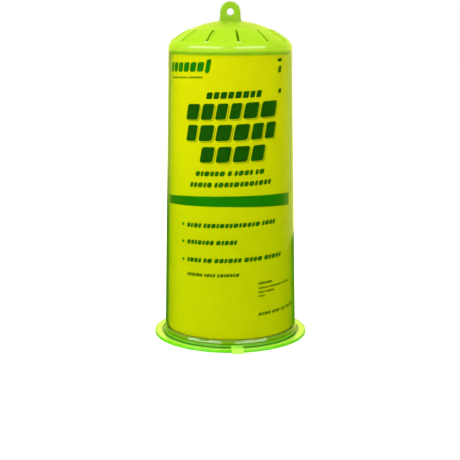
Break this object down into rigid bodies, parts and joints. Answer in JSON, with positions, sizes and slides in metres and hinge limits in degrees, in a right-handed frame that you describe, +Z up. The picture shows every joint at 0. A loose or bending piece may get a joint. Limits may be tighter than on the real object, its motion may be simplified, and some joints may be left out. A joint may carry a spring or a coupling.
{
  "type": "wasp trap",
  "caption": "Reusable hanging wasp trap: tapered see-through cylinder with vented dome, hanging eye and label, on a flanged base with entry holes, funnel and lidded bait chamber.",
  "frame": {"origin": "centre of the base's underside", "axes": "+Z up along the cylinder to the hanging eye, -Y the front with the base's grip tab, +X to the right seen from the front"},
  "size_m": [0.11, 0.1125, 0.236],
  "materials": {
    "lime_plastic": "clear tinted moulded plastic",
    "base_plastic": "clear tinted moulded plastic with bright edges",
    "label_print": "printed film",
    "yellow_plastic": "moulded",
    "white_plastic": "moulded",
    "felt": "needle felt",
    "perforated_film": "satin film",
    "cotton": "pressed cotton"
  },
  "bodies": {
    "base": {"trap_base": "base_plastic", "cartridge_shell": "white_plastic", "cartridge_wick": "felt", "cartridge_film": "perforated_film", "cotton_pad": "cotton"},
    "lid": {"chamber_lid": "yellow_plastic"},
    "funnel": {"entry_funnel": "yellow_plastic"},
    "housing": {"trap_cylinder": "lime_plastic", "label_sheet": "label_print"}
  },
  "joints": [
    {"name": "housing_twist", "type": "hinge", "parent": "base", "child": "funnel", "pos_m": [0, 0, 0], "axis": [0, 0, 1], "range_deg": [0, 28]},
    {"name": "housing_lift", "type": "slide", "parent": "funnel", "child": "housing", "axis": [0, 0, 1], "range_m": [0, 0.12]},
    {"name": "lid_hinge", "type": "hinge", "parent": "base", "child": "lid", "pos_m": [0, 0.0176, 0.01805], "axis": [-1, 0, 0], "range_deg": [0, 100]}
  ]
}
